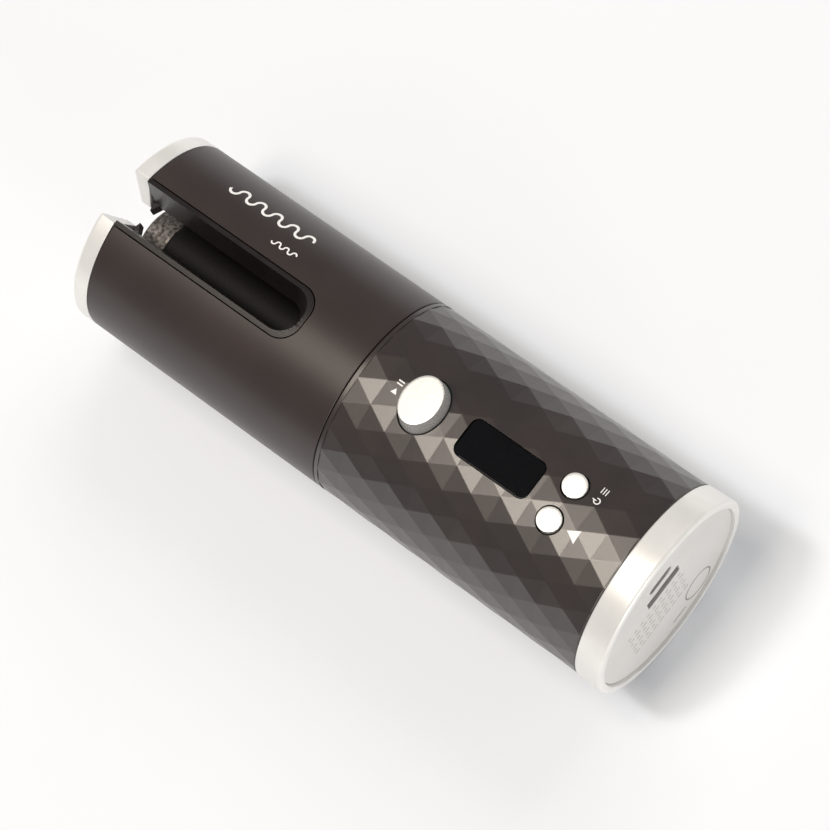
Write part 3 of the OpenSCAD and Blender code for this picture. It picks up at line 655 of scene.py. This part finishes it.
@dataclass
class Grip:
    """The faceted sleeve: rows of triangles between rings of points, with a border at each end."""

    columns: int = 24
    rows: int = 12
    border: float = 1.4 * MM
    back_border: float = 0.3 * MM
    lift: float = 0.03 * MM
    lap: float = 0.15 * MM
    ridge: float = 0.15 * MM
    gap: float = 0.5 * MM
    window_gap: float = 0.25 * MM
    seam: float = 0.15 * MM
    chamfer: float = 0.18 * MM
    past: float = 5.0 * MM
    bore: float = LAYOUT.base_radius - LAYOUT.wall
    tool_foot: float = LAYOUT.axis + 10 * MM
    tool_height: float = 40 * MM

    def facets(self) -> bpy.types.Object:
        """The triangles, drawn as a tube of rings that each turn by half a column."""
        deselect()
        x = LAYOUT.grip[0] - self.seam + self.border
        step = (LAYOUT.grip[1] + self.seam - self.back_border - x) / self.rows
        half_column = math.pi / self.columns
        bpy.ops.mesh.primitive_circle_add(vertices=self.columns, radius=LAYOUT.radius(x),
                                          location=(x, *LAYOUT.line), rotation=(0, math.pi / 2, 0))
        sleeve = bpy.context.object
        sleeve.name = "faceted_grip"
        settle(sleeve)
        edit(sleeve)
        bpy.ops.transform.rotate(value=half_column, orient_axis="X", center_override=(x, *LAYOUT.line))
        for _ in range(self.rows):
            scale = LAYOUT.radius(x + step) / LAYOUT.radius(x)
            bpy.ops.mesh.extrude_edges_move()
            bpy.ops.transform.translate(value=(step, 0, 0))
            x += step
            bpy.ops.transform.rotate(value=half_column, orient_axis="X",
                                     center_override=(x, *LAYOUT.line))
            bpy.ops.transform.resize(value=(1, scale, scale), center_override=(x, *LAYOUT.line))
        bpy.ops.mesh.select_all(action="SELECT")
        bpy.ops.mesh.quads_convert_to_tris(quad_method="SHORTEST_DIAGONAL")
        bpy.ops.mesh.normals_make_consistent(inside=False)
        stop_edit()
        weights = sleeve.data.attributes.new("bevel_weight_edge", "FLOAT", "EDGE")
        for edge, weight in zip(sleeve.data.edges, weights.data):
            a, b = (sleeve.data.vertices[i].co for i in edge.vertices)
            weight.value = float(abs(a.x - b.x) > step / 2)
        apply_modifier(sleeve, "BEVEL", {"width": self.ridge, "segments": 2, "limit_method": "WEIGHT",
                                         "material": 1})
        return sleeve

    def thicken(self, sleeve: bpy.types.Object) -> None:
        """Closes the tube of facets into a wall, down to a round bore."""
        edit(sleeve, "DESELECT")
        bpy.ops.mesh.select_mode(type="EDGE")
        bpy.ops.mesh.select_non_manifold()
        bpy.ops.mesh.fill_holes(sides=0)
        bpy.ops.mesh.select_all(action="SELECT")
        bpy.ops.mesh.normals_make_consistent(inside=False)
        stop_edit()
        x0, x1 = LAYOUT.grip
        cut(sleeve, turned("bore_tool", [(x0 - self.past, self.bore), (x1 + self.past, self.bore)],
                           LAYOUT.line))

    def openings(self) -> list:
        """One cutting tool for each hole in the grip."""
        tools = []
        for node, collar, sides in (("start_button", LAYOUT.start_collar, 96),
                                    ("power_button", LAYOUT.key_collar, 64),
                                    ("settings_button", LAYOUT.key_collar, 64)):
            low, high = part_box(node)
            trim = 2 * (collar - self.gap)
            stand = ((low.x + high.x) / 2, (low.y + high.y) / 2, self.tool_foot)
            tools.append(upright(node + "_tool", stand, (high.x - low.x - trim, high.y - low.y - trim),
                                 self.tool_height, sides))
        low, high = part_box("display_window")
        ledge = LAYOUT.window_ledge - self.window_gap
        tools.append(tablet("window_tool",
                            (low.x + ledge, low.y + ledge + LAYOUT.window_shift, self.tool_foot),
                            (high.x - ledge, high.y - ledge, self.tool_foot + self.tool_height),
                            LAYOUT.window_corner + self.window_gap))
        return tools

    def borders(self) -> list:
        """The smooth band at each end of the facets."""
        made = []
        front, back = LAYOUT.grip
        for name, x0, x1 in (("front_border", front, front - self.seam + self.border + self.lap),
                             ("back_border", back, back + self.seam - self.back_border - self.lap)):
            slope = math.copysign(self.chamfer, x1 - x0)
            r0, r1 = LAYOUT.radius(x0) + self.lift, LAYOUT.radius(x1) + self.lift
            outline = [(x0, self.bore), (x0, r0 - self.chamfer), (x0 + slope, r0),
                       (x1, r1), (x1, self.bore), (x0, self.bore)]
            made.append(turned(name, outline, LAYOUT.line))
        return made

    def build(self) -> None:
        """The whole grip, holes cut and edges eased; only the ridges are shaded smooth."""
        sleeve = self.facets()
        self.thicken(sleeve)
        for tool in self.openings():
            cut(sleeve, tool)
        clean(sleeve, 0.004)
        ease_edges(sleeve, 0.3, 50, 3)
        shade(sleeve, 40, False)
        for face in sleeve.data.polygons:
            face.use_smooth = face.material_index == 1
        LOG.info("%d faces along the ridges", sum(face.use_smooth for face in sleeve.data.polygons))
        # The ridges take the lighter finish, a painted highlight
        finishes = [PEARL_GRIP, PEARL_RIDGE_HIGHLIGHT]
        dress(sleeve, *finishes)
        borders = self.borders()
        for border in borders:
            shade(border, 40)
            dress(border, PEARL_GRIP)
        pick(sleeve, *borders)
        bpy.ops.object.join()
        place(sleeve, finishes, Body.CASE, "shell", "grip_shell")


# ---------------------------------------------------------------- controls


@dataclass
class Controls:
    """Start button, two round buttons and the display window."""

    start_draft: float = 0.8 * MM
    start_skirt: float = LAYOUT.axis + LAYOUT.base_radius - 1.0 * MM
    start_soft: float = 0.18 * MM
    start_rim: float = 0.5 * MM
    foot: float = 5.0 * MM
    key_shoulder: float = 0.47 * MM
    key_soft: float = 0.16 * MM
    key_crown: float = 0.02 * MM
    lens_rise: float = 0.2 * MM
    lens_drop: float = 0.4 * MM

    def build_start(self) -> None:
        """The oval start button: drafted sides, a soft rim and a flat bright top."""
        low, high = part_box("start_button")
        size = [high.x - low.x - 2 * LAYOUT.start_collar, high.y - low.y - 2 * LAYOUT.start_collar]
        middle = ((low.x + high.x) / 2, 0.0)
        skirt, foot = self.start_skirt, low.z + self.foot
        button = upright("start_button_cap", (*middle, foot), size, skirt - foot, 128)
        edit_some(button, "polygons", lambda face: face.normal.z > 0.9)
        wall = high.z - skirt - self.start_soft
        steps = [(wall, self.start_draft)]
        for turn in (math.radians(angle) for angle in (22.5, 45.0, 67.5, 90.0)):
            steps.append((wall + self.start_soft * math.sin(turn),
                          self.start_draft + self.start_soft * (1 - math.cos(turn))))
        height, draft = 0.0, 0.0
        for next_height, next_draft in steps:
            bpy.ops.mesh.extrude_region()
            bpy.ops.transform.translate(value=(0, 0, next_height - height))
            factors = [(s - 2 * next_draft) / (s - 2 * draft) for s in size]
            bpy.ops.transform.resize(value=(*factors, 1), center_override=(*middle, skirt + next_height))
            height, draft = next_height, next_draft
        bpy.ops.mesh.inset(thickness=self.start_rim)
        stop_edit()
        shade(button, 40)
        place(button, [SILVER_PLATE], Body.START, "button_silver", "start_button")

    def build_keys(self) -> None:
        """The two round buttons, slightly crowned with a rounded edge."""
        for node, body in (("power_button", Body.POWER), ("settings_button", Body.SETTINGS)):
            low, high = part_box(node)
            width = high.x - low.x - 2 * LAYOUT.key_collar
            middle = ((low.x + high.x) / 2, (low.y + high.y) / 2)
            key = upright(node + "_cap", (*middle, high.z - self.foot), (width, width),
                          self.foot - self.key_shoulder, 96)
            edit_some(key, "polygons", lambda face: face.normal.z > 0.9)
            soft, crown = self.key_soft, self.key_crown
            radius, height = width / 2, 0.0
            steps = [(soft * math.sin(turn), width / 2 - soft * (1 - math.cos(turn)))
                     for turn in (math.radians(angle) for angle in (18, 36, 54, 72, 90))]
            steps += [(soft + crown * (1 - share ** 2), (width / 2 - soft) * share)
                      for share in (0.8, 0.6, 0.4, 0.2)]
            for next_height, next_radius in steps:
                bpy.ops.mesh.extrude_region()
                bpy.ops.transform.translate(value=(0, 0, next_height - height))
                scale = next_radius / radius
                bpy.ops.transform.resize(value=(scale, scale, 1), center_override=(*middle, high.z))
                radius, height = next_radius, next_height
            stop_edit()
            shade(key, 40)
            place(key, [SILVER_PLATE], body, "button_silver", node)

    def build_window(self) -> None:
        """The glossy lens over the display, with a polished bevel."""
        low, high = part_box("display_window")
        ledge = LAYOUT.window_ledge
        lens = tablet("display_lens",
                      (low.x + ledge, low.y + ledge + LAYOUT.window_shift, low.z + self.lens_rise),
                      (high.x - ledge, high.y - ledge, high.z - self.lens_drop), LAYOUT.window_corner)
        ease_edges(lens, 0.2, 60, 3)
        shade(lens, 50)
        place(lens, [BLACK_LENS], Body.CASE, "window", "display_window")

    def build(self) -> None:
        """All of the controls."""
        self.build_start()
        self.build_keys()
        self.build_window()


# ---------------------------------------------------------------- printed marks


@dataclass
class Marks:
    """Plain pad printing: icons by the buttons, an ornament on the shell, dashes on the end plate."""

    above: float = LAYOUT.axis + LAYOUT.base_radius + 6 * MM
    sink: float = 0.03 * MM
    ink: float = 0.07 * MM
    cell: float = 0.3 * MM
    dash_rows: int = 6
    dash_columns: int = 9
    made: list = field(default_factory=list)

    @staticmethod
    def spot(along: float, across: float) -> tuple:
        """The (x, y) of a place given in millimetres from the tip and from the middle."""
        return (LAYOUT.tip + along * MM, across * MM)

    def bar(self, start: tuple, end: tuple, width: float) -> None:
        """A straight bar of ink between two (x, y) places."""
        deselect()
        length = math.dist(start, end)
        bpy.ops.mesh.primitive_grid_add(
            x_subdivisions=max(1, round(length / self.cell)),
            y_subdivisions=max(1, round(width / self.cell)), size=1,
            location=((start[0] + end[0]) / 2, (start[1] + end[1]) / 2, self.above),
            rotation=(0, 0, math.atan2(end[1] - start[1], end[0] - start[0])))
        piece = bpy.context.object
        piece.scale = (length, width, 1)
        self.made.append(settle(piece))

    def sweep(self, start: tuple, radius: float, width: float, turns: list) -> None:
        """A ribbon of ink that runs in arcs, one after another.

        Args:
            start: Where it starts; it sets off towards +Y.
            radius: Radius of its arcs.
            width: Width of the ribbon.
            turns: Angle of each arc in degrees; a positive one bends to the right.
        """
        deselect()
        bpy.ops.mesh.primitive_plane_add(size=1, location=(*start, self.above))
        piece = bpy.context.object
        piece.scale = (width, 0.01 * MM, 1)
        settle(piece)
        points = piece.data.vertices
        edit_some(piece, "edges", lambda edge: all(points[i].co.y > start[1] for i in edge.vertices))
        bpy.ops.mesh.select_mode(type="EDGE")
        here, heading = Vector((*start, self.above)), 90.0
        for turn in turns:
            side = math.radians(heading - math.copysign(90, turn))
            hub = here + radius * Vector((math.cos(side), math.sin(side), 0))
            bpy.ops.mesh.spin(steps=max(4, round(abs(turn) / 15)), angle=math.radians(turn), center=hub,
                              axis=(0, 0, -1))
            heading -= turn
            side = math.radians(heading + math.copysign(90, turn))
            here = hub + radius * Vector((math.cos(side), math.sin(side), 0))
        stop_edit()
        self.made.append(piece)

    def triangle(self, centre: tuple, radius: float, turn: float) -> None:
        """A filled triangle with equal sides that points along a direction in degrees."""
        deselect()
        bpy.ops.mesh.primitive_circle_add(vertices=3, radius=radius, fill_type="NGON",
                                          location=(*centre, self.above),
                                          rotation=(0, 0, math.radians(turn - 90)))
        piece = settle(bpy.context.object)
        edit(piece)
        bpy.ops.mesh.subdivide(number_cuts=7)
        stop_edit()
        self.made.append(piece)

    def press(self, name: str, target: bpy.types.Object, ink: Finish) -> None:
        """Lays what was drawn onto a surface below, gives it its thickness and hangs it on the case."""
        pick(*self.made)
        bpy.ops.object.join()
        piece = bpy.context.object
        piece.name = name
        self.made = []
        apply_modifier(piece, "SHRINKWRAP", {
            "target": target, "wrap_method": "PROJECT", "use_project_z": True,
            "use_negative_direction": True, "use_positive_direction": False})
        edit(piece)
        bpy.ops.mesh.normals_make_consistent(inside=False)
        stop_edit()
        if sum(face.normal.z for face in piece.data.polygons) < 0:
            edit(piece)
            bpy.ops.mesh.flip_normals()
            stop_edit()
        edit(piece)
        bpy.ops.transform.translate(value=(0, 0, -self.sink))
        stop_edit()
        apply_modifier(piece, "SOLIDIFY", {"thickness": self.ink, "offset": 1.0})
        clean(piece, 0.001)
        shade(piece, 40, False)
        place(piece, [ink], Body.CASE, "end_face")

    def draw_icons(self) -> None:
        """Plain icons: by the start button, by the round buttons, and an arrow head."""
        self.triangle(self.spot(106.7, -1.6), 1.15 * MM, 90)
        for across in (1.0, 2.0):
            self.bar(self.spot(105.7, across), self.spot(107.7, across), 0.4 * MM)
        self.sweep(self.spot(172.4, 6.0), 0.9 * MM, 0.32 * MM, [180, 120])
        self.bar(self.spot(171.8, 6.0), self.spot(173.1, 6.0), 0.3 * MM)
        for along in (172.5, 173.3, 174.1):
            self.bar(self.spot(along, 8.6), self.spot(along, 10.6), 0.25 * MM)
        self.triangle(self.spot(174.0, -5.5), 2.4 * MM, 180)

    def draw_ornament(self) -> None:
        """Two wavy strands, a large one and a small one below its end."""
        self.sweep(self.spot(25.0, 21.4), 1.55 * MM, 0.75 * MM, [180, -180] * 5)
        self.sweep(self.spot(47.4, 14.5), 0.75 * MM, 0.45 * MM, [180, -180] * 3)

    def build_end_marks(self) -> None:
        """Rows of dashes, a ring and a bar, in grey on the end plate."""
        face = span("end_plate", 0)[1]
        dashes = [(1.0 * MM, LAYOUT.axis - 25.0 * MM, 6.0 * MM, 0.7 * MM)]
        for row in range(self.dash_rows):
            z = LAYOUT.axis + (5.0 - 3.1 * row) * MM
            width = (2.0 if row % 2 else 1.3) * MM
            for column in range(self.dash_columns):
                y = (-17.0 + 2.9 * column + 0.5 * (row % 2)) * MM
                dashes.append((y, z, width, 0.35 * MM))
        for y, z, width, height in dashes:
            deselect()
            bpy.ops.mesh.primitive_cube_add(size=1, location=(face, y, z))
            dash = bpy.context.object
            dash.scale = (self.ink, width, height)
            self.made.append(settle(dash))
        outer, inner = 6.0 * MM, 5.45 * MM
        back, front = face - self.ink / 2, face + self.ink / 2
        outline = [(back, inner), (front, inner), (front, outer), (back, outer), (back, inner)]
        self.made.append(turned("end_ring", outline, (10.9 * MM, LAYOUT.axis - 19.6 * MM), 64))
        pick(*self.made)
        bpy.ops.object.join()
        marks = bpy.context.object
        marks.name = "end_plate_marks"
        self.made = []
        shade(marks, 40, False)
        place(marks, [GREY_INK], Body.CASE, "end_face")

    def build(self) -> None:
        """All of the marks."""
        self.draw_icons()
        self.press("button_icons", bpy.data.objects["faceted_grip"], WHITE_INK)
        self.draw_ornament()
        self.press("shell_ornament", bpy.data.objects["smooth_shell"], WHITE_INK)
        self.build_end_marks()


# ---------------------------------------------------------------- base


@dataclass
class BaseEnd:
    """The silver base cap and the light end plate with its two ports."""

    edge: float = 1.1 * MM
    lip: float = 0.5 * MM
    seam: float = 0.3 * MM
    wall: float = 1.5 * MM
    depth: float = 3.0 * MM
    plate_gap: float = 0.1 * MM
    front_rise: float = 0.15 * MM
    front_slope: float = 0.3 * MM
    front_land: float = 1.0 * MM
    land_rise: float = 0.05 * MM
    rim_drop: float = 0.02 * MM

    def build_cap(self) -> None:
        """The silver ring, round at its rim, with a fine step down to the plate."""
        end, inner = LAYOUT.end, span("end_plate", 1)[1] + self.plate_gap
        foot = inner - self.wall
        seam, slope = LAYOUT.grip[1] + self.seam, self.front_slope
        front, rim = LAYOUT.base_radius + self.front_rise, LAYOUT.rim_radius
        e, lip = self.edge, self.lip
        outline = [(seam, foot), (seam, front - slope), (seam + slope, front),
                   (seam + self.front_land, front + self.land_rise), (end - 2 * e, rim - self.rim_drop)]
        outline += list(reversed(corner(end - e, rim - e, e, 0, 8)))
        outline += [(end, inner + 2 * lip), (end, inner + lip), (end - 0.15 * lip, inner + 0.4 * lip),
                    (end - lip, inner), (end - self.depth, inner), (end - self.depth, foot), (seam, foot)]
        cap = turned("base_ring", outline, LAYOUT.line, 256)
        shade(cap, 35)
        place(cap, [SILVER_LACQUER], Body.CASE, "silver", "base_cap")

    def build_plate(self) -> None:
        """The end plate, with its port openings eased."""
        plate = trace("end_plate", "end_plate_moulding", 0.4)
        ease_edges(plate, 0.2, 40, 3)
        shade(plate, 35)
        place(plate, [GREY_ABS], Body.CASE, "end_face", "end_plate")

    def build(self) -> None:
        """All of the base."""
        self.build_cap()
        self.build_plate()


# ---------------------------------------------------------------- inside


@dataclass
class Insides:
    """The drive, heater, boards and battery keep their frame shapes and take their own finishes."""

    finishes: dict = field(default_factory=lambda: {
        "display_module": SCREEN_BLOCK, "start_plunger": PLUNGER, "power_plunger": PLUNGER,
        "settings_plunger": PLUNGER, "tact_switches": SWITCH_BODY, "main_board": BOARD_MASK,
        "board_screws": ZINC_SCREW, "inner_chassis": CHASSIS_ABS, "gear_housing": HOUSING_PPS,
        "drive_plate": PLATE_METAL, "gearbox_screws": ZINC_SCREW, "motor": MOTOR_CAN,
        "motor_screws": ZINC_SCREW, "motor_shaft": STEEL, "motor_pinion": BRASS,
        "motor_leads": WIRE_BLUE, "compound_gear": ACETAL, "compound_axle": STEEL,
        "barrel_gear": ACETAL, "rear_bush": BRONZE, "front_bush": BRONZE, "chamber_seal": SILICONE,
        "spindle": STEEL, "heater_core": HEATER_CAST, "thermistor": GLASS_BEAD,
        "thermal_fuse": FUSE_BODY, "heater_leads": WIRE_WHITE, "battery_cells": CELL_WRAP,
        "battery_cradle": CRADLE_ABS, "battery_tabs": NICKEL, "battery_leads": WIRE_RED,
        # The socket shells carry painted shade from their openings
        "port_board": BOARD_MASK, "usb_c_socket": SOCKET_SHELL_SHADE, "usb_a_socket": SOCKET_SHELL_SHADE})

    def build(self) -> None:
        """Dresses every inner node."""
        for node, finish in self.finishes.items():
            dress(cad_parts[node], finish)
            LOG.info("%s: %s", node, finish.name)


# ---------------------------------------------------------------- studio


@dataclass(frozen=True)
class Lamp:
    """A rectangular soft light that looks at a point.

    Attributes:
        name: What it is.
        place: Where it stands.
        aim: The point that it faces.
        size: Its width and height.
        power: Its power in watts.
        tint: Its colour.
        mirrored: Whether glossy surfaces show it.
    """

    name: str
    place: tuple
    aim: tuple
    size: tuple
    power: float
    tint: str = "#ffffff"
    mirrored: bool = True

    def build(self) -> None:
        """Adds the light."""
        data = bpy.data.lights.new(self.name, "AREA")
        data.shape = "RECTANGLE"
        data.size, data.size_y = self.size
        data.energy = self.power
        data.color = colour(self.tint)[:3]
        lamp = bpy.data.objects.new(self.name, data)
        bpy.context.scene.collection.objects.link(lamp)
        lamp.visible_glossy = self.mirrored
        lamp.location = self.place
        lamp.rotation_euler = (Vector(self.aim) - Vector(self.place)).to_track_quat("-Z", "Y").to_euler()


@dataclass
class Studio:
    """Pale floor, soft lights and the camera."""

    floor_size: float = 6.0
    camera_place: tuple = (0.32441, -0.12743, 0.97085)
    camera_turn: tuple = (17.334, 10.400, 38.067)
    lens: float = 148.35
    ambient: float = 0.2
    glow: float = 0.12
    lamps: tuple = (
        Lamp("key_softbox", (-0.43, -0.59, 2.5), (-0.43, -0.59, 0.0), (0.68, 1.575), 36.0, "#fff4e6"),
        Lamp("shadow_lamp", (-0.88, -0.62, 2.6), (0.0, 0.0, 0.0), (0.36, 0.36), 22.0, "#ffffff", False),
        Lamp("end_fill", (1.7, -0.5, 0.4), (0.1, 0.0, 0.03), (1.2, 0.7), 12.0, "#fffaf4"),
        Lamp("far_fill", (-0.3, 1.7, 1.5), (0.0, 0.0, 0.03), (1.6, 1.0), 14.0, "#fffdf8", False),
    )

    def build_floor(self) -> None:
        """A sheet of white paper that runs far past the view."""
        deselect()
        bpy.ops.mesh.primitive_plane_add(size=self.floor_size, location=(0, 0, 0))
        floor = bpy.context.object
        floor.name = "paper_floor"
        dress(floor, FLOOR_PAPER)
        paper = floor.data.materials[0].node_tree.nodes["Principled BSDF"].inputs
        paper["Emission Color"].default_value = colour("#ffffff")
        paper["Emission Strength"].default_value = self.glow

    def build_world(self) -> None:
        """Even white light from all round."""
        world = bpy.data.worlds.new("studio_white")
        world.use_nodes = True
        world.node_tree.nodes["Background"].inputs["Color"].default_value = colour("#fbfcff")
        world.node_tree.nodes["Background"].inputs["Strength"].default_value = self.ambient
        bpy.context.scene.world = world

    def build_camera(self) -> None:
        """The camera, looking down on the buttons from the base end."""
        data = bpy.data.cameras.new("camera")
        data.lens = self.lens
        data.sensor_width = 36.0
        camera = bpy.data.objects.new("camera", data)
        bpy.context.scene.collection.objects.link(camera)
        camera.location = self.camera_place
        camera.rotation_euler = Euler([math.radians(a) for a in self.camera_turn], "XYZ")
        bpy.context.scene.camera = camera

    def build(self) -> None:
        """The whole studio, shown without a film look."""
        self.build_camera()
        self.build_floor()
        self.build_world()
        for lamp in self.lamps:
            lamp.build()
        bpy.context.scene.view_settings.view_transform = "Standard"


def main() -> None:
    """Builds the studio and every sub-assembly."""
    logging.basicConfig(level=logging.INFO, format="%(message)s")
    for part in (Studio(), WindingEnd(), HeatedBarrel(), Grip(), Controls(), Marks(), BaseEnd(), Insides()):
        LOG.info("-- %s", type(part).__name__)
        part.build()
    deselect()


if __name__ == "__main__":
    main()
